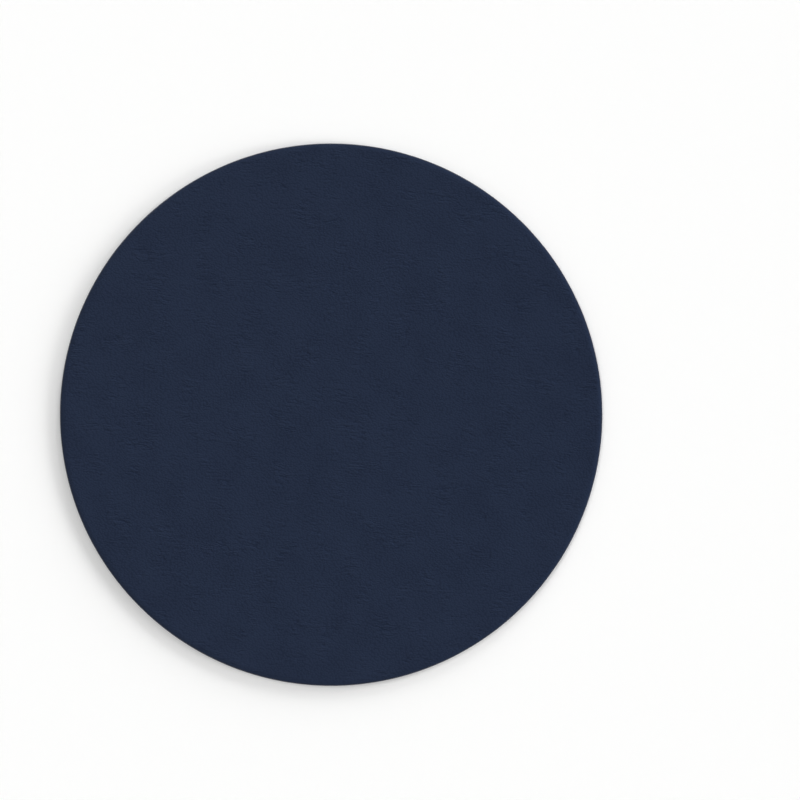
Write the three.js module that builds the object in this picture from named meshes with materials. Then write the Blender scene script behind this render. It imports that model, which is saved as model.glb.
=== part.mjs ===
// A round laminated mouse pad, lying flat with its underside on z = 0 and its axis along +Z.
//
// Five sheets are bonded into one laminate and cut to a circle. From the top down they are the
// grained skin, the soft foam under it and the backing cloth, which together are a sheet of
// synthetic leather, then the adhesive film and the suede base. The cutting die crushes the foam
// at the rim, so the face rolls down there in a round shoulder, and a bead of edge paint seals
// the cut. The pad has no moving part.
import * as THREE from "three";

// Driving dimensions in millimetres
const PAD_DIAMETER = 240; // over the painted edge
const SKIN_THICKNESS = 0.3;
const FOAM_THICKNESS = 0.55; // where it isn't crushed
const CLOTH_THICKNESS = 0.3;
const ADHESIVE_THICKNESS = 0.1;
const SUEDE_THICKNESS = 0.75;
const SHOULDER_WIDTH = 2.4; // the band at the rim where the die rolls the face down
const CRUSHED_FOAM_THICKNESS = 0.15; // what is left of the foam at the cut
const EDGE_PAINT_THICKNESS = 0.3; // at the fullest point of the bead
const EDGE_PAINT_LIFT = 0.12; // keeps the bead off the desk

// Facets of the turned surfaces
const TURN_FACETS = 120;
const SHOULDER_FACETS = 5;
const BEAD_FACETS = 8;

// Levels of the bonded faces, from the desk up
const SUEDE_TOP = SUEDE_THICKNESS;
const ADHESIVE_TOP = SUEDE_TOP + ADHESIVE_THICKNESS;
const CLOTH_TOP = ADHESIVE_TOP + CLOTH_THICKNESS;
const FOAM_TOP = CLOTH_TOP + FOAM_THICKNESS;
const SKIN_TOP = FOAM_TOP + SKIN_THICKNESS;

// The rim: every sheet is cut at one radius, and the crushed foam lowers the face there
const CUT_RADIUS = PAD_DIAMETER / 2 - EDGE_PAINT_THICKNESS;
const SHOULDER_DROP = FOAM_THICKNESS - CRUSHED_FOAM_THICKNESS;
const RIM_TOP = SKIN_TOP - SHOULDER_DROP;

// The line of a flat face in the turning plane, from the axis out to the cut
function flatFace(level) {
  return [new THREE.Vector2(0, level), new THREE.Vector2(CUT_RADIUS, level)];
}

// The line of a face that rolls down at the rim along a quarter of an ellipse
function rolledFace(level) {
  const shoulder = new THREE.EllipseCurve(
    CUT_RADIUS - SHOULDER_WIDTH,
    level - SHOULDER_DROP,
    SHOULDER_WIDTH,
    SHOULDER_DROP,
    Math.PI / 2,
    0,
    true,
  );
  return [new THREE.Vector2(0, level), ...shoulder.getPoints(SHOULDER_FACETS)];
}

// One sheet of the laminate is what lies between its two faces
function sheetOutline(lowerFace, upperFace) {
  return [...lowerFace, ...upperFace.reverse()];
}

// The bead of paint fills half an ellipse outside the cut, from just above the desk to the face
function beadOutline() {
  const halfHeight = (RIM_TOP - EDGE_PAINT_LIFT) / 2;
  const bulge = new THREE.EllipseCurve(
    CUT_RADIUS,
    EDGE_PAINT_LIFT + halfHeight,
    EDGE_PAINT_THICKNESS,
    halfHeight,
    -Math.PI / 2,
    Math.PI / 2,
  );
  const outside = bulge.getPoints(BEAD_FACETS);
  return [...outside, outside[0].clone()];
}

// Turns an outline round the pad's axis into one closed piece
function turnedPiece(name, outline, material) {
  const geometry = new THREE.LatheGeometry(outline, TURN_FACETS);
  geometry.rotateX(Math.PI / 2);
  const piece = new THREE.Mesh(geometry, material);
  piece.name = name;
  return piece;
}

function finish(color, roughness) {
  return new THREE.MeshStandardMaterial({ color, roughness, metalness: 0 });
}

const grainedNavy = finish(0x252d40, 0.55);
const foamGrey = finish(0x5d6471, 0.9);
const clothGrey = finish(0x8d929b, 0.9);
const adhesiveClear = finish(0xd6d0c2, 0.4);
const suedeCharcoal = finish(0x2d323d, 0.95);
const paintedNavy = finish(0x20283a, 0.4);

// The synthetic leather: skin, foam and cloth arrive at the maker's as one sheet
const leather = new THREE.Group();
leather.add(
  turnedPiece("top_skin", sheetOutline(rolledFace(FOAM_TOP), rolledFace(SKIN_TOP)), grainedNavy),
  turnedPiece("foam_layer", sheetOutline(flatFace(CLOTH_TOP), rolledFace(FOAM_TOP)), foamGrey),
  turnedPiece("backing_cloth", sheetOutline(flatFace(ADHESIVE_TOP), flatFace(CLOTH_TOP)), clothGrey),
);

// The base: a hot-melt film holds the suede, nap down, under the cloth
const base = new THREE.Group();
base.add(
  turnedPiece("adhesive_film", sheetOutline(flatFace(SUEDE_TOP), flatFace(ADHESIVE_TOP)), adhesiveClear),
  turnedPiece("suede_base", sheetOutline(flatFace(0), flatFace(SUEDE_TOP)), suedeCharcoal),
);

const mousePad = new THREE.Group();
mousePad.add(leather, base, turnedPiece("edge_paint", beadOutline(), paintedNavy));

export default mousePad;
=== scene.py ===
# %% [markdown]
# # A round mouse pad in grained navy leather cloth
#
# The pad is a laminate: a grained skin, soft foam and woven cloth, which together are a sheet of
# synthetic leather, then a film of hot-melt glue and a suede base. A die cuts the stack to a circle,
# which crushes the foam at the rim, and a bead of paint seals the cut. This lesson dresses the CAD
# pieces one by one. Each is modelled again over the CAD solid that it stands for, because the solids
# are turned in coarse facets and have no grain, nap or unevenness.

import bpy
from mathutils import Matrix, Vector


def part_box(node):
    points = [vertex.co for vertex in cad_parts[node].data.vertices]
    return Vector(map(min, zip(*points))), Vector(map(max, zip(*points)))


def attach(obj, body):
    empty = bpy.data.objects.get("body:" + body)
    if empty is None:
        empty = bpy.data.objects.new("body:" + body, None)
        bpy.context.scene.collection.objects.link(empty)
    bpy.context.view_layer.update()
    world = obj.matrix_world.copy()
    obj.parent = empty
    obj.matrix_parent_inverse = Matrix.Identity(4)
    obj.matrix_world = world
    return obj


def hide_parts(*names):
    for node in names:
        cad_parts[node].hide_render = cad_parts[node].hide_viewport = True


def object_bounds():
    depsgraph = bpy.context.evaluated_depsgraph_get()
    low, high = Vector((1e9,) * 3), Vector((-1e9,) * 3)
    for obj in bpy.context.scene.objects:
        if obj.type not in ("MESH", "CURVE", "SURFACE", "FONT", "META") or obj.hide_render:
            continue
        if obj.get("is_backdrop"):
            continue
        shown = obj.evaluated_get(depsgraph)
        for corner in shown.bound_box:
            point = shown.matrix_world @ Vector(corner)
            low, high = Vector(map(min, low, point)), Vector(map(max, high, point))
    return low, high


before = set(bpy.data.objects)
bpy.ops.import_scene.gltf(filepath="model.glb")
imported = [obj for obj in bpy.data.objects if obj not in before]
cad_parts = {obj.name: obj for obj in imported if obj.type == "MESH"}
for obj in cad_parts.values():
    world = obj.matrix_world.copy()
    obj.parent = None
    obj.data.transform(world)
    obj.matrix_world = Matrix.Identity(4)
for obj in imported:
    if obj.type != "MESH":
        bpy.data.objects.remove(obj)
cad_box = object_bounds()
print("CAD pieces:", ", ".join(sorted(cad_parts)))

# %% [markdown]
# ## Measure the laminate
#
# A dressed piece has to sit exactly where its solid sits. The sizes could be typed in again, but then
# they would drift apart when the CAD changes, so they are read from the solids. Only the place where
# the face starts to roll down can't be read from a box: it is the furthest point that is still level
# with the top.

# %% Read the levels and radii from the solids
import bpy
import numpy as np

MM = 0.001
SAME_LEVEL = 0.001 * MM

skin_low, skin_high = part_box("top_skin")
foam_low, foam_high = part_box("foam_layer")
cloth_low, cloth_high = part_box("backing_cloth")
film_low, film_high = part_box("adhesive_film")
suede_low, suede_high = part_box("suede_base")
paint_low, paint_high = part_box("edge_paint")

cut_radius = skin_high.x
cut_area = np.pi * cut_radius**2
pad_radius = paint_high.x
face_level = skin_high.z
skin_thickness = face_level - foam_high.z
rim_level = skin_low.z + skin_thickness
shoulder_drop = face_level - rim_level
skin_points = [vertex.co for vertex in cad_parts["top_skin"].data.vertices]
flat_radius = max(point.xy.length for point in skin_points if face_level - point.z < SAME_LEVEL)
shoulder_width = cut_radius - flat_radius

print(f"cut at a radius of {cut_radius / MM:.1f} mm, {face_level / MM:.2f} mm thick")
print(f"the face rolls down by {shoulder_drop / MM:.2f} mm over the last {shoulder_width / MM:.1f} mm")

# %% [markdown]
# ## An even mesh for a round sheet
#
# A disc made of rings and spokes crowds its faces at the centre and stretches them at the rim, so fine
# relief would look different in the two places. A square grid bent into a circle keeps its faces
# nearly the same size everywhere. Each square ring of the grid becomes a round one: its distance from
# the centre stays, and its place along the side becomes an angle.

# %% Bend a square grid into a disc
def even_disc(cells):
    """Points of a disc of radius 1, its four-sided faces, and the numbers of its rim points in order."""
    steps = np.linspace(-1, 1, cells + 1)
    across, along = np.meshgrid(steps, steps)
    sideways = np.abs(across) > np.abs(along)
    reach = np.where(sideways, across, along)
    divisor = np.where(reach == 0, 1, reach)
    eighth_turn = np.pi / 4
    angle = np.where(
        sideways,
        eighth_turn * along / divisor,
        2 * eighth_turn - eighth_turn * across / divisor,
    )
    points = np.stack([reach * np.cos(angle), reach * np.sin(angle)], axis=-1).reshape(-1, 2)
    number = np.arange((cells + 1) ** 2).reshape(cells + 1, cells + 1)
    corners = [number[:-1, :-1], number[:-1, 1:], number[1:, 1:], number[1:, :-1]]
    faces = np.stack(corners, axis=-1).reshape(-1, 4)
    sides = [number[0, :-1], number[:-1, -1], number[-1, :0:-1], number[:0:-1, 0]]
    return points, faces, np.concatenate(sides)


print("points, faces and rim points of 8 cells a side:", [len(part) for part in even_disc(8)])

# %% [markdown]
# ## A piece and its pattern
#
# Every piece is a mesh of four-sided faces that moves with the pad. It also gets a UV map. When a part
# leaves Blender, its node materials are baked into pictures, and the map says which patch of the picture
# each face takes. Blender can unwrap a mesh by itself, but it would give a hidden side as much of the
# picture as a good one. So each piece here brings its own pattern, as a tailor would cut it, under the
# name that the export looks for.

# %% Make a mesh into a piece of the pad
SHARP_EDGE = np.radians(40)
PATTERN_NAME = "OFBake"


def add_piece(name, points, faces, pattern):
    """A smooth mesh object. pattern holds the place in the picture of each corner of each face."""
    mesh = bpy.data.meshes.new(name)
    mesh.from_pydata(points.tolist(), [], faces.tolist())
    mesh.uv_layers.new(name=PATTERN_NAME).uv.foreach_set("vector", pattern.astype(np.float32).ravel())
    mesh.shade_smooth()
    mesh.set_sharp_from_angle(angle=SHARP_EDGE)
    piece = bpy.data.objects.new(name, mesh)
    bpy.context.scene.collection.objects.link(piece)
    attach(piece, "root")
    return piece


def row_faces(inner, outer):
    """The faces between two closed rows of points."""
    return np.column_stack([inner, outer, np.roll(outer, -1), np.roll(inner, -1)])


print("a ring of 4 points joined to the next:", row_faces(np.arange(4), np.arange(4, 8)).tolist())

# %% [markdown]
# ## From a disc to a closed sheet
#
# A sheet has two faces and a cut edge. Both faces are even discs, and rings of faces lead from the rim of
# one, over the shoulder and down the cut, to the rim of the other. A fan of triangles would close the
# hidden side with fewer faces, but hundreds of slivers would meet in one point. One function makes all
# five sheets, because they differ only in the line that the rings follow. It can also turn a sheet over,
# for the suede, whose good side is the lower one. In the pattern, the good side fills the picture with the
# rings round it, as if the edge were pressed flat, and the hidden side is shrunk into a corner.

# %% Press a sheet's edge flat for its pattern
PICTURE_MIDDLE = 0.5
GOOD_SIDE_RADIUS = 0.49


def run_length(line):
    """How far along a line each of its points lies."""
    return np.concatenate([[0], np.cumsum(np.hypot(*np.diff(line, axis=0).T))])


def pressed_flat(disc, around, rings):
    """The places in the picture of a sheet's points, when its edge is pressed flat round the good side."""
    reach = rings[0][0] + run_length(rings)
    spread = [disc * reach[0], *(around * radius for radius in reach[1:-1]), disc * reach[-1]]
    return PICTURE_MIDDLE + np.vstack(spread) * GOOD_SIDE_RADIUS / reach[-1]


print("3 mm out and 4 mm down, pressed flat, is", run_length([(0, 0), (3, 4)])[-1], "mm")

# %% Close a sheet along a line of rings
HIDDEN_SIDE_RADIUS = 0.075
HIDDEN_SIDE_PLACE = 0.085


def at_level(outline, radius, level):
    """Points of a flat outline of radius 1, brought to a radius and a level."""
    return np.column_stack([outline * radius, np.full(len(outline), level)])


def closed_sheet(name, cells, rings, turned_over=False):
    """A round sheet. rings are pairs of radius and level, from the good side's rim to the hidden one's."""
    disc, disc_faces, rim = even_disc(cells)
    around = disc[rim]
    edge = [at_level(around, *ring) for ring in rings[1:-1]]
    points = np.vstack([at_level(disc, *rings[0]), *edge, at_level(disc, *rings[-1])])

    hidden_start = len(points) - len(disc)
    edge_rows = np.arange(len(disc), hidden_start).reshape(len(edge), len(rim))
    rows = [rim, *edge_rows, hidden_start + rim]
    strips = [row_faces(inner, outer) for inner, outer in zip(rows, rows[1:])]
    faces = np.vstack([disc_faces, *strips, hidden_start + disc_faces[:, ::-1]])
    if turned_over:
        faces = faces[:, ::-1]

    pattern = pressed_flat(disc, around, rings)[faces]
    hidden = faces[-len(disc_faces):] - hidden_start
    pattern[-len(disc_faces):] = HIDDEN_SIDE_PLACE + disc[hidden] * HIDDEN_SIDE_RADIUS
    return add_piece(name, points, faces, pattern)


hidden_share = (HIDDEN_SIDE_RADIUS / GOOD_SIDE_RADIUS) ** 2
print(f"in the picture, a hidden side is shrunk to {hidden_share:.1%} of a good side's area")

# %% [markdown]
# ## The rolled shoulder
#
# The die crushes the foam before it cuts through, so the face rolls down to the rim in a soft shoulder. A
# Bevel modifier could round the edge, but its arc is as deep as it is wide, and this shoulder is much
# wider than it is deep. A quarter of an ellipse has that shape: it is level where it leaves the face and
# steep at the cut. Even turns bring its rings close together where it bends most.

# %% Roll a face down at the rim
def rolled_line(level, steps):
    """The quarter ellipse along which a face rolls down at the rim, from its flat part to the cut."""
    turns = np.linspace(0, np.pi / 2, steps + 1)
    return [
        (flat_radius + shoulder_width * np.sin(turn), level - shoulder_drop * (1 - np.cos(turn)))
        for turn in turns
    ]


print("shoulder:", [f"{radius / MM:.2f}, {level / MM:.2f}" for radius, level in rolled_line(face_level, 4)])

# %% [markdown]
# ## The grained face
#
# The skin is a film of polyurethane cast on embossed paper. Its grain is too fine for a mesh of sane
# size, so that goes into the material. What a mesh can show is the slow unevenness of a soft sheet:
# the foam below is never quite the same thickness, and the face rises and falls by a few hundredths
# of a millimetre. A Displace modifier could do that, but it would move the shoulder as well. Here Perlin
# noise only ever takes height away, so that the face stays inside the CAD solid, and it dies out towards
# the shoulder, where the die has pressed the sheet.

# %% Let the soft face settle
from mathutils import Vector, noise

SWELL_DEPTH = 0.035 * MM
SWELL_LENGTH = 11 * MM
RIPPLE_DEPTH = 0.015 * MM
RIPPLE_LENGTH = 4.5 * MM


def hollow(place, length, depth):
    """How much is taken away at a place: up to the depth, in lumps of that length."""
    return depth * (1 + noise.noise(place / length)) / 2


def settle_face(piece):
    """Lowers the points of the flat top by the swell and the ripple of the soft sheet."""
    for vertex in piece.data.vertices:
        if face_level - vertex.co.z < SAME_LEVEL:
            place = Vector((vertex.co.x, vertex.co.y, 0))
            fade = min(1, (flat_radius - place.length) / shoulder_width)
            depth = hollow(place, SWELL_LENGTH, SWELL_DEPTH) + hollow(place, RIPPLE_LENGTH, RIPPLE_DEPTH)
            vertex.co.z -= max(0, fade) * depth


print(f"the face settles by up to {(SWELL_DEPTH + RIPPLE_DEPTH) / MM:.3f} mm")

# %% Make the face
FACE_CELLS = 208
SHOULDER_RINGS = 9
HIDDEN_RINGS = 4

upper_line = rolled_line(face_level, SHOULDER_RINGS)
under_line = rolled_line(face_level - skin_thickness, HIDDEN_RINGS)
grained_face = closed_sheet("grained_face", FACE_CELLS, upper_line + under_line[::-1])
settle_face(grained_face)
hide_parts("top_skin")
print(f"grained_face: {len(grained_face.data.polygons)} faces")

# %% [markdown]
# ## The painted edge
#
# Edge paint is thick and is rolled on along the cut, so it dries as a bead that is fullest halfway down
# and laps a hair's breadth up over the shoulder. A torus would be too round and too regular. Here the
# bead's line follows the shoulder and the cut, and stands off from them by the thickness of the paint.
# The thickness wanders a little round the pad, and there is a small swelling where the run of paint
# meets its own start. Its pattern is cut into strips that lie above one another in the picture.

# %% Shape the bead's line
LAP_RINGS = 5
LAP_TURN = np.radians(62)
CUT_RINGS = 13
BEAD_SLIMNESS = 0.8


def edge_line():
    """Points of the line that the paint lies on, each with the direction that it stands off in."""
    line = []
    for turn in np.linspace(LAP_TURN, np.pi / 2, LAP_RINGS, endpoint=False):
        radius = flat_radius + shoulder_width * np.sin(turn)
        level = rim_level + shoulder_drop * np.cos(turn)
        away = Vector((np.sin(turn) / shoulder_width, np.cos(turn) / shoulder_drop)).normalized()
        line.append((radius, level, away))
    for level in np.linspace(rim_level, paint_low.z, CUT_RINGS):
        line.append((cut_radius, level, Vector((1, 0))))
    return line


def bead_height(level):
    """How full the bead is at a level: nothing at its two ends, everything halfway between them."""
    lap_level = rim_level + shoulder_drop * np.cos(LAP_TURN)
    share = (lap_level - level) / (lap_level - paint_low.z)
    return np.sin(np.pi * share) ** BEAD_SLIMNESS if 0 < share < 1 else 0


bead_levels = [level / MM for radius, level, away in edge_line()]
print(f"the bead reaches from {bead_levels[0]:.2f} mm down to {bead_levels[-1]:.2f} mm above the table")

# %% Let the thickness of the paint wander
PAINT_WANDER = 0.14
PAINT_WANDER_LENGTH = 9 * MM
RUN_END_ANGLE = np.radians(235)
RUN_END_SPREAD = np.radians(1.3)
RUN_END_SWELLING = 0.12


def paint_share(angle):
    """The bead's thickness round the pad, as a share of the fullest."""
    place = Vector((np.cos(angle), np.sin(angle), 0)) * pad_radius
    wander = 1 - hollow(place, PAINT_WANDER_LENGTH, PAINT_WANDER)
    run_end = np.exp(-(((angle - RUN_END_ANGLE) / RUN_END_SPREAD) ** 2))
    return min(1, wander + RUN_END_SWELLING * run_end)


sample_shares = [paint_share(angle) for angle in np.radians(range(360))]
print(f"the paint is {min(sample_shares):.2f} to {max(sample_shares):.2f} of its fullest")

# %% Cut the bead's pattern into strips
EDGE_POINTS = 1080
PATTERN_STRIPS = 18
STRIP_MIDDLE = 0.5
STRIP_FILL = 0.94


def in_strip(share):
    """A place across or along a strip of the pattern, which keeps clear of the strip's border."""
    return STRIP_MIDDLE + STRIP_FILL * (share - STRIP_MIDDLE)


def strip_pattern(rings):
    """The places in the picture of the corners of the bead's faces."""
    across = run_length([ring[0, [0, 2]] for ring in rings + rings[:1]])
    across = in_strip(across / across[-1])
    columns = EDGE_POINTS // PATTERN_STRIPS
    strip, column = np.divmod(np.arange(EDGE_POINTS), columns)
    along = in_strip(np.stack([column, column, column + 1, column + 1], axis=-1) / columns)
    rows = []
    for low, high in zip(across, across[1:]):
        up = (strip[:, None] + [low, high, high, low]) / PATTERN_STRIPS
        rows.append(np.stack([along, up], axis=-1))
    return np.concatenate(rows)


print(f"{PATTERN_STRIPS} strips, each {EDGE_POINTS // PATTERN_STRIPS} faces long")

# %% Make the bead of paint
LAP_FILM = 0.012 * MM


def painted_bead():
    """The bead of paint, in rings that run down its outside and back up along the cut."""
    line = edge_line()
    angles = np.linspace(0, 2 * np.pi, EDGE_POINTS, endpoint=False)
    shares = np.array([paint_share(angle) for angle in angles])
    full = pad_radius - cut_radius
    directions = np.column_stack([np.cos(angles), np.sin(angles)])
    rings = []
    for radius, level, away in line:
        film = LAP_FILM + (full - LAP_FILM) * bead_height(level) * shares
        out = directions * (radius + film * away.x)[:, None]
        rings.append(np.column_stack([out, level + film * away.y]))
    for radius, level, away in line[::-1]:
        rings.append(at_level(directions, radius, level))
    number = np.arange(len(rings) * EDGE_POINTS).reshape(len(rings), EDGE_POINTS)
    strips = [row_faces(inner, outer) for inner, outer in zip(number, np.roll(number, -1, axis=0))]
    return add_piece("painted_edge", np.vstack(rings), np.vstack(strips), strip_pattern(rings))


painted_edge = painted_bead()
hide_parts("edge_paint")
bead_faces = len(painted_edge.data.polygons)
print(f"painted_edge: {bead_faces} faces, bead {(pad_radius - cut_radius) / MM:.2f} mm full")

# %% [markdown]
# ## The suede base
#
# The underside is brushed suede, which keeps the pad from sliding. Its nap is a pile of very short
# fibres. Hair particles could draw each fibre, but they would be lost in the exported mesh and nobody
# sees them under a pad, so the sheet gets a soft lower edge and a shallow patchy surface, and the
# material does the rest.

# %% Round an edge and ruffle the nap
SUEDE_EDGE_ROUND = 0.25 * MM
NAP_DEPTH = 0.03 * MM
NAP_LENGTH = 3.2 * MM


def rounded_edge(level_from, level_to, rounding, steps):
    """Rings of a cut edge whose first corner is rounded off."""
    way = np.sign(level_to - level_from)
    turns = np.linspace(0, np.pi / 2, steps + 1)
    corner = [
        (cut_radius - rounding * (1 - np.sin(turn)), level_from + way * rounding * (1 - np.cos(turn)))
        for turn in turns
    ]
    return corner + [(cut_radius, level_to)]


def ruffle_nap(piece):
    """Lifts the points of the flat underside where the pile lies flatter."""
    inside = cut_radius - SUEDE_EDGE_ROUND
    for vertex in piece.data.vertices:
        place = Vector((vertex.co.x, vertex.co.y, 0))
        if vertex.co.z - suede_low.z < SAME_LEVEL and place.length < inside - SAME_LEVEL:
            vertex.co.z += hollow(place, NAP_LENGTH, NAP_DEPTH)


print(f"the nap is ruffled by up to {NAP_DEPTH / MM:.2f} mm")

# %% Make the suede
SUEDE_CELLS = 150
SUEDE_EDGE_RINGS = 4

suede_rings = rounded_edge(suede_low.z, suede_high.z, SUEDE_EDGE_ROUND, SUEDE_EDGE_RINGS)
napped_base = closed_sheet("napped_base", SUEDE_CELLS, suede_rings, turned_over=True)
ruffle_nap(napped_base)
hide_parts("suede_base")
print(f"napped_base: {len(napped_base.data.polygons)} faces")

# %% [markdown]
# ## The layers inside
#
# Foam, cloth and film show only when the laminate is peeled apart. They could stay plain CAD solids,
# but then the part would be finished only skin deep. Three more calls of the same function give them
# clean round edges, with the crushed shoulder on the foam.

# %% Make the foam, the cloth and the film
INNER_CELLS = 90

foam_line = rolled_line(foam_high.z, HIDDEN_RINGS) + [(cut_radius, foam_low.z)]
crushed_foam = closed_sheet("crushed_foam", INNER_CELLS, foam_line)
cloth_line = [(cut_radius, cloth_high.z), (cut_radius, cloth_low.z)]
backing_weave = closed_sheet("backing_weave", INNER_CELLS, cloth_line)
film_line = [(cut_radius, film_high.z), (cut_radius, film_low.z)]
melted_film = closed_sheet("melted_film", INNER_CELLS, film_line)

for piece, node, slot in [
    (crushed_foam, "foam_layer", "soft_foam"),
    (backing_weave, "backing_cloth", "woven_backing"),
    (melted_film, "adhesive_film", "hot_melt_film"),
]:
    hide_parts(node)
    print(f"{piece.name}: {len(piece.data.polygons)} faces for {node}")

# %% [markdown]
# ## A short way to wire nodes
#
# A finish is a material, and a material is a tree of nodes. In the node editor one adds nodes by hand and
# drags wires between them. In a script each node takes several lines, so two helpers keep the recipes
# below short enough to read. One gives a piece a new material and hands back its tree, its shader and the
# piece's own coordinates. The other adds a node and fills its sockets, with numbers or with the outputs
# of other nodes. The coordinates are in metres, so a length in a recipe is a length on the pad.

# %% Start a material and add nodes
pieces = [grained_face, painted_edge, napped_base, crushed_foam, backing_weave, melted_film]


def start_material(piece, name, **shader_values):
    """Gives the piece a new material and returns its node tree, its shader and the piece's coordinates."""
    material = bpy.data.materials.new(name)
    material.use_nodes = True
    tree = material.node_tree
    shader = tree.nodes["Principled BSDF"]
    for socket, value in shader_values.items():
        shader.inputs[socket.replace("_", " ")].default_value = value
    piece.data.materials.clear()
    piece.data.materials.append(material)
    place = tree.nodes.new("ShaderNodeTexCoord").outputs["Object"]
    return tree, shader, place


def add_node(tree, kind, sockets, **settings):
    """Adds a node. sockets gives its inputs, by name or number, as values or as other nodes' outputs."""
    made = tree.nodes.new(kind)
    for setting, value in settings.items():
        setattr(made, setting, value)
    for socket, value in sockets.items():
        if isinstance(value, bpy.types.NodeSocket):
            tree.links.new(value, made.inputs[socket])
        else:
            made.inputs[socket].default_value = value
    return made


print("waiting for a finish:", ", ".join(piece.name for piece in pieces if not piece.data.materials))

# %% [markdown]
# ## Leather: plump cells
#
# The embossed paper leaves the skin covered with small plump cells. They could be sculpted, but there are
# tens of thousands of them. A Voronoi texture scatters points over the plane and measures how far each
# place lies from the nearest one, and that distance makes a round hill on each point. Noise pushes the
# plane about first, because cells on a plain plane meet in straight lines, like cut glass.

# %% Push the plane about
NOISE_MIDDLE = 0.5


def noise_of(tree, place, length, detail=2.0, output="Fac"):
    """Noise whose lumps are about length metres across."""
    sockets = {"Vector": place, "Scale": 1 / length, "Detail": detail}
    return add_node(tree, "ShaderNodeTexNoise", sockets).outputs[output]


def moved(tree, operation, place, other):
    """One step of arithmetic on coordinates."""
    return add_node(tree, "ShaderNodeVectorMath", {0: place, 1: other}, operation=operation).outputs[0]


def bent_plane(tree, place, length, reach):
    """Coordinates pushed about by noise with lumps of that length, by up to about half the reach."""
    push = moved(tree, "SUBTRACT", noise_of(tree, place, length, output="Color"), [NOISE_MIDDLE] * 3)
    return moved(tree, "ADD", place, moved(tree, "MULTIPLY", push, [reach] * 3))


def drawn_out(tree, place, share):
    """Coordinates squeezed along X, so that what is drawn on them becomes long in that direction."""
    return moved(tree, "MULTIPLY", place, (share, 1, 1))


print(f"noise runs from 0 to 1, so {NOISE_MIDDLE} comes off it, and it pushes both ways")

# %% Raise plump cells
PEBBLE_SIZE = 0.85 * MM
PEBBLE_DRAW = 0.8
PEBBLE_SHAKE = 0.7 * MM
PEBBLE_SHAKE_LENGTH = 1.7 * MM
PEBBLE_SLOPE = (0.12, 0.78)


def cell_distance(tree, place, size, feature):
    """Distance from the middle or from the edge of the cells of a net, in shares of a cell."""
    sockets = {"Vector": place, "Scale": 1 / size, "Randomness": 1.0}
    net = add_node(tree, "ShaderNodeTexVoronoi", sockets, feature=feature, voronoi_dimensions="2D")
    return net.outputs["Distance"]


def ranged(tree, value, given, wanted):
    """Maps one span of numbers softly onto another."""
    ends = dict(zip(["From Min", "From Max", "To Min", "To Max"], [*given, *wanted]))
    made = add_node(tree, "ShaderNodeMapRange", {"Value": value, **ends}, interpolation_type="SMOOTHSTEP")
    return made.outputs["Result"]


def pebbles(tree, place):
    """Small plump cells: 1 on their tops, 0 in the valleys."""
    shaky = bent_plane(tree, place, PEBBLE_SHAKE_LENGTH, PEBBLE_SHAKE)
    middle = cell_distance(tree, drawn_out(tree, shaky, PEBBLE_DRAW), PEBBLE_SIZE, "F1")
    return ranged(tree, middle, PEBBLE_SLOPE, (1.0, 0.0))


pebble_count = cut_area * PEBBLE_DRAW / PEBBLE_SIZE**2
print(f"about {round(pebble_count, -3):,.0f} plump cells of {PEBBLE_SIZE / MM:.2f} mm")

# %% [markdown]
# ## Leather: wrinkles
#
# Fine wrinkles run side by side across the pad, gather in some places and die out in others. Each could
# be drawn as a curve, but they are many and no two are alike. Noise on a plane that is squeezed in one
# direction comes out as long ridges, and a Voronoi net on the same plane cuts thin creases among them.
# The plane sways first, so that no wrinkle runs straight, and slower noise says where they gather.

# %% Raise wrinkles
WRINKLE_SPACING = 1.35 * MM
WRINKLE_DRAW = 0.2
WRINKLE_SWAY = 6 * MM
WRINKLE_SWAY_LENGTH = 15 * MM
WRINKLE_SHAKE = 0.8 * MM
WRINKLE_SHAKE_LENGTH = 2.4 * MM
RIDGE_SHARE = 5.5
CREASE_SHARE = 1.6
CREASE_BELOW = 0.62
CREASE_WIDTH = 0.24
GATHER_LENGTH = 9 * MM
GATHER_SPAN = (0.46, 0.66)
GATHER_LEAST = 0.06


def counted(tree, operation, first, second):
    """One step of arithmetic on two numbers."""
    return add_node(tree, "ShaderNodeMath", {0: first, 1: second}, operation=operation).outputs[0]


def swing(tree, place, length, reach, detail):
    """Noise that swings about 0, by up to about half the reach."""
    centred = counted(tree, "SUBTRACT", noise_of(tree, place, length, detail), NOISE_MIDDLE)
    return counted(tree, "MULTIPLY", centred, reach)


def wrinkles(tree, place):
    """Long ridges and the thin creases among them, gathered in patches. The mean height is about 0."""
    swayed = bent_plane(tree, place, WRINKLE_SWAY_LENGTH, WRINKLE_SWAY)
    shaky = bent_plane(tree, swayed, WRINKLE_SHAKE_LENGTH, WRINKLE_SHAKE)
    long_plane = drawn_out(tree, shaky, WRINKLE_DRAW)
    ridge = swing(tree, long_plane, WRINKLE_SPACING, RIDGE_SHARE, detail=0.0)
    edge = cell_distance(tree, long_plane, WRINKLE_SPACING, "DISTANCE_TO_EDGE")
    crease_levels = (-CREASE_BELOW * CREASE_SHARE, (1 - CREASE_BELOW) * CREASE_SHARE)
    crease = ranged(tree, edge, (0.0, CREASE_WIDTH), crease_levels)
    gathered = ranged(tree, noise_of(tree, place, GATHER_LENGTH), GATHER_SPAN, (GATHER_LEAST, 1.0))
    return counted(tree, "MULTIPLY", counted(tree, "ADD", ridge, crease), gathered)


print(f"wrinkles {WRINKLE_SPACING / MM:.2f} mm apart and about {1 / WRINKLE_DRAW:.0f} times as long")

# %% [markdown]
# ## Leather: the pressed rim
#
# Where the die rolls the face down it also presses the grain, so the last two millimetres are smoother
# and their dark creases fade. A second material for the rim would begin with a hard line. One material can
# change by degrees instead: the distance from the middle of the pad says how near the cut is, and noise
# makes the pressing uneven, as it is when soft foam gives way.

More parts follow.
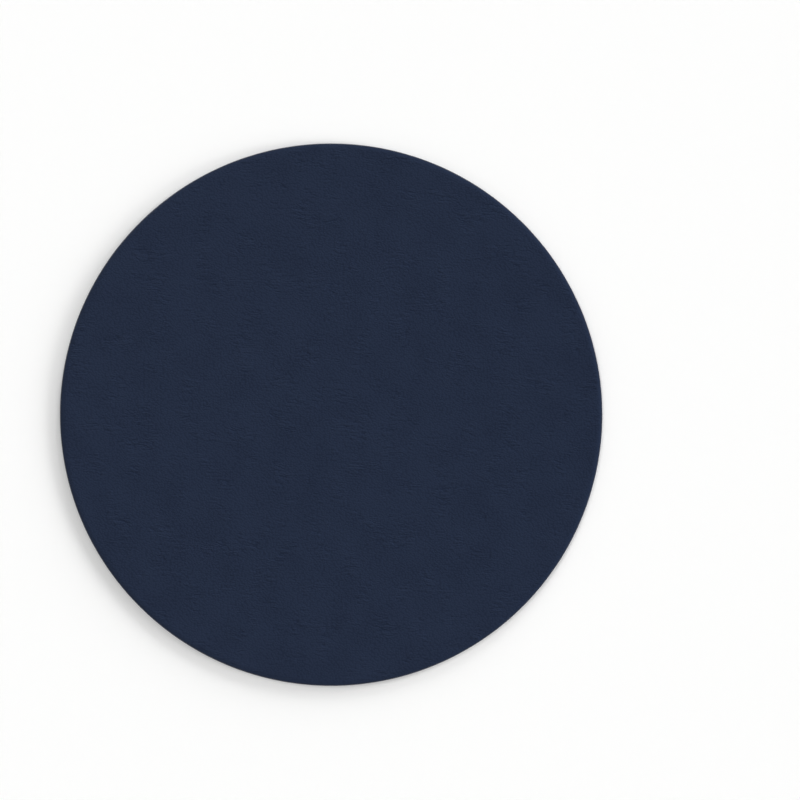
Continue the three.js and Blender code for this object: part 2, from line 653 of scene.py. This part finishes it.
# %% Press the rim
PRESS_WIDTH = 2.0 * MM
PRESS_PATCH = 5 * MM
PRESS_LEAST = 0.35
NOISE_SPAN = (0.3, 0.7)


def pressed_rim(tree, place):
    """How far the rolled rim is pressed: 0 on the flat face, up to 1 at the cut."""
    radius = add_node(tree, "ShaderNodeVectorMath", {0: place}, operation="LENGTH").outputs["Value"]
    near_cut = ranged(tree, radius, (cut_radius - PRESS_WIDTH, cut_radius), (0.0, 1.0))
    patch = ranged(tree, noise_of(tree, place, PRESS_PATCH), NOISE_SPAN, (PRESS_LEAST, 1.0))
    return counted(tree, "MULTIPLY", near_cut, patch)


print(f"the grain is pressed from a radius of {(cut_radius - PRESS_WIDTH) / MM:.1f} mm outwards")

# %% [markdown]
# ## Leather: relief and colour
#
# The heights now become a finish. Displacement would move the surface itself, but it needs a mesh with
# millions of faces, so a bump node only tilts the shading. One plain navy would look like painted card.
# Creases and wrinkle troughs are painted a little darker than the plump tops and the wrinkle ridges, as
# painted shade, and they are duller, because a hand polishes the tops. Slow noise lets the tone drift
# across the pad, because no length of leather cloth is dyed quite evenly.

# %% Raise the grain
GRAIN_DEPTH = 0.042 * MM
TOOTH_LENGTH = 0.2 * MM
TOOTH_SHARE = 0.2
PRESSED_SHARE = 0.6


def raised(tree, shader, height, depth):
    """Tells the shader that the surface is that much higher where height is 1 than where it is 0."""
    bump = add_node(tree, "ShaderNodeBump", {"Height": height, "Strength": 1.0, "Distance": depth})
    tree.links.new(bump.outputs["Normal"], shader.inputs["Normal"])


def grain_height(tree, place, plump, wrinkled, pressed):
    """The cells, the wrinkles and the fine tooth of the skin, lower where the rim is pressed."""
    tooth = counted(tree, "MULTIPLY", noise_of(tree, place, TOOTH_LENGTH, detail=3.0), TOOTH_SHARE)
    grain = counted(tree, "ADD", counted(tree, "ADD", plump, wrinkled), tooth)
    standing = counted(tree, "SUBTRACT", 1.0, counted(tree, "MULTIPLY", pressed, PRESSED_SHARE))
    return counted(tree, "MULTIPLY", grain, standing)


least_depth = GRAIN_DEPTH * (1 - PRESSED_SHARE)
print(f"a plump cell is {GRAIN_DEPTH / MM:.3f} mm high, pressed to {least_depth / MM:.3f} mm at the cut")

# %% Dress the face in grained leather
NAVY_TOP = (0.0141, 0.0228, 0.0482, 1)
# Painted shade: creases take a darker navy than the tops, in place of the shade that falls in them.
NAVY_CREASE_SHADE = (0.0103, 0.0171, 0.0380, 1)
# How much the wrinkles count in the painted shade of the colour and in the roughness.
WRINKLE_SHADE_SHARE = 0.3
MOTTLE_LENGTH = 15 * MM
MOTTLE_TINT = 2.5
TONE_SPAN = (-0.9, 1.3)
LEATHER_GLOSS = 0.12
RUBBED_SPAN = (-0.8, 1.0)
LEATHER_ROUGHNESS = (0.75, 0.56)


def mixed(tree, share, first, second):
    """A colour between two colours."""
    sockets = {"Factor": share, "A": first, "B": second}
    return add_node(tree, "ShaderNodeMix", sockets, data_type="RGBA").outputs["Result"]


def dress_face():
    tree, shader, place = start_material(
        grained_face, "grained_navy_leather", Specular_IOR_Level=LEATHER_GLOSS
    )
    plump = pebbles(tree, place)
    wrinkled = wrinkles(tree, place)
    pressed = pressed_rim(tree, place)
    raised(tree, shader, grain_height(tree, place, plump, wrinkled, pressed), GRAIN_DEPTH)
    # Painted shade and highlight: plump tops and wrinkle ridges lighten the colour, creases and troughs
    # darken it; the same sum sets the roughness.
    rubbed_and_shaded = counted(tree, "ADD", plump, counted(tree, "MULTIPLY", wrinkled, WRINKLE_SHADE_SHARE))
    tone = counted(tree, "ADD", rubbed_and_shaded, swing(tree, place, MOTTLE_LENGTH, MOTTLE_TINT, detail=3.0))
    colour = mixed(tree, ranged(tree, tone, TONE_SPAN, (0.0, 1.0)), NAVY_CREASE_SHADE, NAVY_TOP)
    # Where the rim is pressed, the colour goes back to the tops' navy, so the painted crease shade fades
    # there.
    tree.links.new(mixed(tree, pressed, colour, NAVY_TOP), shader.inputs["Base Color"])
    tree.links.new(ranged(tree, rubbed_and_shaded, RUBBED_SPAN, LEATHER_ROUGHNESS), shader.inputs["Roughness"])


dress_face()
crease_shares = [round(crease / top, 2) for crease, top in zip(NAVY_CREASE_SHADE, NAVY_TOP)]
print("leather: creases", crease_shares[:3], "times the top's colour")

# %% [markdown]
# ## Edge paint
#
# The paint is the skin's own colour, a shade deeper, and smoother than the grain. One even gloss would
# make it look like a moulded plastic ring. Rolled paint is never like glass: it keeps faint ripples along
# its run, and it dries thinner and duller in some places than in others. Fine noise gives the ripples, and
# broad noise changes the colour and the gloss together.

# %% Dress the painted edge
PAINT_NAVY = (0.0118, 0.0176, 0.0360, 1)
PAINT_NAVY_THIN = (0.0160, 0.0236, 0.0455, 1)
PAINT_THIN_SPAN = (0.35, 0.7)
PAINT_PATCH = 7 * MM
PAINT_RIPPLE = 0.02 * MM
PAINT_RIPPLE_LENGTH = 1.1 * MM
PAINT_GLOSS = 0.45
PAINT_ROUGHNESS = (0.28, 0.42)


def dress_edge():
    tree, shader, place = start_material(painted_edge, "navy_edge_paint", Specular_IOR_Level=PAINT_GLOSS)
    raised(tree, shader, noise_of(tree, place, PAINT_RIPPLE_LENGTH), PAINT_RIPPLE)
    patch = noise_of(tree, place, PAINT_PATCH, detail=3.0)
    colour = mixed(tree, ranged(tree, patch, PAINT_THIN_SPAN, (0.0, 1.0)), PAINT_NAVY, PAINT_NAVY_THIN)
    tree.links.new(colour, shader.inputs["Base Color"])
    tree.links.new(ranged(tree, patch, NOISE_SPAN, PAINT_ROUGHNESS), shader.inputs["Roughness"])


dress_edge()
print(f"edge paint: ripples of {PAINT_RIPPLE_LENGTH / MM:.1f} mm in patches of {PAINT_PATCH / MM:.0f} mm")

# %% [markdown]
# ## Suede
#
# Brushed suede is matte, and its tone changes with the lie of the pile: fibres that lean towards the
# light look paler, and the brush leaves soft streaks. A photograph of suede could be laid on, but it would
# blur close by and repeat from afar. Noise on a plane that is drawn out along the brushing makes the
# fibres, and broader noise on the same plane makes the streaks. Both are painted into the colour, paler
# and deeper at random, as a painted sheen of the pile. The plane is bent first, because no pile lies quite
# straight. The shader's own sheen gives the pale bloom that a pile shows at a low angle.

# %% Dress the base in suede
SUEDE_DEEP = (0.0165, 0.0205, 0.0310, 1)
SUEDE_PALE = (0.0370, 0.0450, 0.0640, 1)
SUEDE_BLOOM = (0.40, 0.47, 0.62, 1)
FIBRE_WIDTH = 0.16 * MM
FIBRE_DRAW = 0.3
FIBRE_DEPTH = 0.09 * MM
STREAK_WIDTH = 1.5 * MM
PILE_BEND_LENGTH = 18 * MM
PILE_BEND = 9 * MM
PILE_SPAN = (0.33, 0.67)


def dress_suede():
    tree, shader, place = start_material(
        napped_base,
        "charcoal_suede",
        Roughness=0.95,
        Specular_IOR_Level=0.1,
        Sheen_Weight=0.25,
        Sheen_Tint=SUEDE_BLOOM,
    )
    brushed = drawn_out(tree, bent_plane(tree, place, PILE_BEND_LENGTH, PILE_BEND), FIBRE_DRAW)
    fibres = noise_of(tree, brushed, FIBRE_WIDTH, detail=4.0)
    streaks = noise_of(tree, brushed, STREAK_WIDTH, detail=3.0)
    raised(tree, shader, fibres, FIBRE_DEPTH)
    # Painted sheen: fibres and streaks make the colour paler or deeper.
    pile_sheen = counted(tree, "DIVIDE", counted(tree, "ADD", fibres, streaks), 2.0)
    colour = mixed(tree, ranged(tree, pile_sheen, PILE_SPAN, (0.0, 1.0)), SUEDE_DEEP, SUEDE_PALE)
    tree.links.new(colour, shader.inputs["Base Color"])


dress_suede()
print(f"suede: fibres of {FIBRE_WIDTH / MM:.2f} mm in streaks of {STREAK_WIDTH / MM:.1f} mm")

# %% [markdown]
# ## Foam
#
# The soft layer is a mass of tiny bubbles, open where its surface cuts through them. To model them would
# take millions of faces for a layer that is seldom seen. A Voronoi texture in three dimensions draws them
# on the face and down the cut alike: round pits whose bottoms are darkened with painted shade, and paler
# walls between.

# %% Dress the foam
FOAM_PALE = (0.150, 0.172, 0.215, 1)
# Painted shade: the pit bottoms take this darker colour.
FOAM_PIT_SHADE = (0.060, 0.072, 0.098, 1)
FOAM_CELL = 0.22 * MM
FOAM_PIT = 0.06 * MM
FOAM_WALL_SPAN = (0.1, 0.6)


def dress_foam():
    tree, shader, place = start_material(crushed_foam, "soft_foam", Roughness=0.9)
    cells = add_node(tree, "ShaderNodeTexVoronoi", {"Vector": place, "Scale": 1 / FOAM_CELL})
    walls = ranged(tree, cells.outputs["Distance"], FOAM_WALL_SPAN, (0.0, 1.0))
    raised(tree, shader, walls, FOAM_PIT)
    # Painted shade: the colour darkens towards the bottom of each pit.
    tree.links.new(mixed(tree, walls, FOAM_PIT_SHADE, FOAM_PALE), shader.inputs["Base Color"])


dress_foam()
print(f"foam: cells of {FOAM_CELL / MM:.2f} mm")

# %% [markdown]
# ## Cloth
#
# The leather cloth is cast on a plain weave, in which each thread goes over one and under the next. The
# threads could be swept as tubes, several hundred each way, but at half a millimetre their relief is
# enough. A checker says whether the thread along or the thread across lies on top, and a sine wave rounds
# each thread. The same wave paints the gaps between threads darker, as painted shade.

# %% Dress the cloth
CLOTH_PALE = (0.330, 0.352, 0.395, 1)
# Painted shade: the gaps between the threads take this darker colour.
CLOTH_GAP_SHADE = (0.150, 0.165, 0.195, 1)
THREAD_PITCH = 0.55 * MM
THREAD_DEPTH = 0.1 * MM


def thread(tree, distance):
    """The round back of parallel threads: 1 along the middle of each, 0 in the gaps."""
    wave = counted(tree, "SINE", counted(tree, "MULTIPLY", distance, np.pi / THREAD_PITCH), 0.0)
    return counted(tree, "ABSOLUTE", wave, 0.0)


def dress_cloth():
    tree, shader, place = start_material(backing_weave, "plain_weave", Roughness=0.92)
    axes = add_node(tree, "ShaderNodeSeparateXYZ", {"Vector": place}).outputs
    sockets = {"Vector": place, "Scale": 1 / THREAD_PITCH}
    over = add_node(tree, "ShaderNodeTexChecker", sockets).outputs["Fac"]
    along, across = thread(tree, axes["X"]), thread(tree, axes["Y"])
    sockets = {"Factor": over, "A": along, "B": across}
    weave = add_node(tree, "ShaderNodeMix", sockets, data_type="FLOAT").outputs["Result"]
    raised(tree, shader, weave, THREAD_DEPTH)
    # Painted shade: the colour darkens in the gaps between the threads.
    tree.links.new(mixed(tree, weave, CLOTH_GAP_SHADE, CLOTH_PALE), shader.inputs["Base Color"])


dress_cloth()
print(f"cloth: {10 * MM / THREAD_PITCH:.0f} threads to the centimetre")

# %% [markdown]
# ## Glue film
#
# The hot-melt film is laid in as a sheet, melts between hot rollers and sets milky. A glass shader would
# suit a loose film, but no light comes through this one between cloth and suede, so it is opaque. It set
# in soft blotches, and one broad noise dimples it, clouds its colour and dulls its shine.

# %% Dress the film
FILM_CLEAR = (0.700, 0.660, 0.565, 1)
FILM_CLOUDY = (0.610, 0.573, 0.488, 1)
FILM_BLOTCH = 3.5 * MM
FILM_DIMPLE = 0.015 * MM
FILM_CLOUD_SPAN = (0.35, 0.65)
FILM_ROUGHNESS = (0.3, 0.5)


def dress_film():
    tree, shader, place = start_material(melted_film, "hot_melt_film")
    blotch = noise_of(tree, place, FILM_BLOTCH, detail=3.0)
    raised(tree, shader, blotch, FILM_DIMPLE)
    cloudy = ranged(tree, blotch, FILM_CLOUD_SPAN, (0.0, 1.0))
    tree.links.new(mixed(tree, cloudy, FILM_CLEAR, FILM_CLOUDY), shader.inputs["Base Color"])
    tree.links.new(ranged(tree, blotch, NOISE_SPAN, FILM_ROUGHNESS), shader.inputs["Roughness"])


dress_film()
for piece in pieces:
    print(f"{piece.name}: a finish of {len(piece.active_material.node_tree.nodes)} nodes")

# %% [markdown]
# ## The sheets
#
# The five layers are sheets, cut to a circle and laid on one another.

# %% [markdown]
# ## Table and tent
#
# The pad lies on a white table in a light tent. The tent's cloth could be modelled, but only its light
# matters, and the world can give that: white near the horizon, so that the background is white from every
# side, and less bright above, so that the lamps have room before the white clips. The table is a disc
# that reaches out to the horizon. It lies a hair below the pad, because two faces at one level flicker.

# %% Lay the table
TABLE_RADIUS = 30.0
TABLE_SIDES = 64
TABLE_GAP = 0.02 * MM
TABLE_WHITE = (0.985, 0.985, 0.98, 1)


def lay_table():
    bpy.ops.mesh.primitive_circle_add(
        vertices=TABLE_SIDES, radius=TABLE_RADIUS, fill_type="NGON", location=(0, 0, -TABLE_GAP)
    )
    table = bpy.context.object
    table.name = "white_table"
    start_material(table, "white_table", Base_Color=TABLE_WHITE, Roughness=1.0, Specular_IOR_Level=0.0)
    table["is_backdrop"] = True


lay_table()
print(f"a table that reaches {TABLE_RADIUS:.0f} m out, {TABLE_GAP / MM:.2f} mm below the pad")

# %% Hang the tent
TENT_TOP = 0.5
TENT_FOOT_HEIGHT = 0.12
TENT_TOP_HEIGHT = 0.4
PURE_WHITE = (1, 1, 1, 1)


def hang_tent():
    world = bpy.data.worlds.new("light_tent")
    bpy.context.scene.world = world
    world.use_nodes = True
    tree = world.node_tree
    direction = tree.nodes.new("ShaderNodeTexCoord").outputs["Generated"]
    height = add_node(tree, "ShaderNodeSeparateXYZ", {"Vector": direction}).outputs["Z"]
    level = ranged(tree, height, (TENT_FOOT_HEIGHT, TENT_TOP_HEIGHT), (1.0, TENT_TOP))
    background = tree.nodes["Background"]
    background.inputs["Color"].default_value = PURE_WHITE
    tree.links.new(level, background.inputs["Strength"])


hang_tent()
print(f"the tent is white at its foot and {TENT_TOP:.2f} of white above")

# %% [markdown]
# ## Lamps
#
# Area lamps would fade across the pad, and the light in the photograph is even, so suns with wide discs
# act as soft lamps. Three panels stand low in an arc on the right, which gives the grain its shading and
# the pad its soft shadow on the left. A sheet lit at so low an angle would glare like silver from the
# other side, so the panels are left out of reflections. A soft box hangs high at the back on the left, and
# its reflection draws a line of light along the rolled rim. Together they light the table to just under
# white.

# %% Place the lamps
PANEL_LEVEL = 0.12
PANEL_ELEVATION = np.radians(9)
PANEL_AZIMUTHS = np.radians([-12, 30, 72])
PANEL_SPREAD = np.radians(17)
BOX_LEVEL = 0.11
BOX_ELEVATION = np.radians(50)
BOX_AZIMUTH = np.radians(135)
BOX_SPREAD = np.radians(24)


def add_lamp(name, level, azimuth, elevation, spread):
    """A soft lamp that adds level to the table's brightness, as a share of white."""
    light = bpy.data.lights.new(name, "SUN")
    light.energy = level * np.pi / np.sin(elevation)
    light.angle = spread
    lamp = bpy.data.objects.new(name, light)
    bpy.context.scene.collection.objects.link(lamp)
    flat = np.cos(elevation)
    source = Vector((flat * np.cos(azimuth), flat * np.sin(azimuth), np.sin(elevation)))
    lamp.rotation_euler = source.to_track_quat("Z", "Y").to_euler()
    return lamp


add_lamp("soft_box", BOX_LEVEL, BOX_AZIMUTH, BOX_ELEVATION, BOX_SPREAD)
for azimuth in PANEL_AZIMUTHS:
    panel = add_lamp("soft_panel", PANEL_LEVEL, azimuth, PANEL_ELEVATION, PANEL_SPREAD)
    panel.visible_glossy = False
lamp_level = BOX_LEVEL + PANEL_LEVEL * len(PANEL_AZIMUTHS)
print(f"the soft box and {len(PANEL_AZIMUTHS)} panels add {lamp_level:.2f} to the table's brightness")

# %% [markdown]
# ## Camera
#
# The photograph looks straight down. The pad's circle in it gives both the scale and the place: so many
# pixels across for so many millimetres, and so far from the middle of the picture. The camera moves
# sideways by that much instead of being shifted, so that other views stay centred.

# %% Set the camera over the pad
PICTURE_SIDE_PX = 800
PAD_CENTRE_PX = (331.2, 414.65)
PAD_RADIUS_PX = 271.2
LENS_MM = 85
SENSOR_MM = 36

metres_per_px = pad_radius / PAD_RADIUS_PX
picture_width = PICTURE_SIDE_PX * metres_per_px
camera_data = bpy.data.cameras.new("camera")
camera_data.lens = LENS_MM
camera_data.sensor_width = SENSOR_MM
camera = bpy.data.objects.new("camera", camera_data)
bpy.context.scene.collection.objects.link(camera)
camera.location = (
    (PICTURE_SIDE_PX / 2 - PAD_CENTRE_PX[0]) * metres_per_px,
    (PAD_CENTRE_PX[1] - PICTURE_SIDE_PX / 2) * metres_per_px,
    (paint_low.z + paint_high.z) / 2 + picture_width * LENS_MM / SENSOR_MM,
)
bpy.context.scene.camera = camera
bpy.context.scene.view_settings.view_transform = "Standard"
print(f"the picture is {picture_width / MM:.1f} mm wide, seen from {camera.location.z:.3f} m")

# %% [markdown]
# ## Print the sizes
#
# Both boxes, the CAD part's and the dressed pad's, are printed in millimetres. The dressed pad
# may not outgrow the CAD part.

boxes = {"cad": cad_box, "visual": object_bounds()}
for name, (low, high) in boxes.items():
    print(name, "box in mm:", [round(side / MM, 2) for side in high - low])
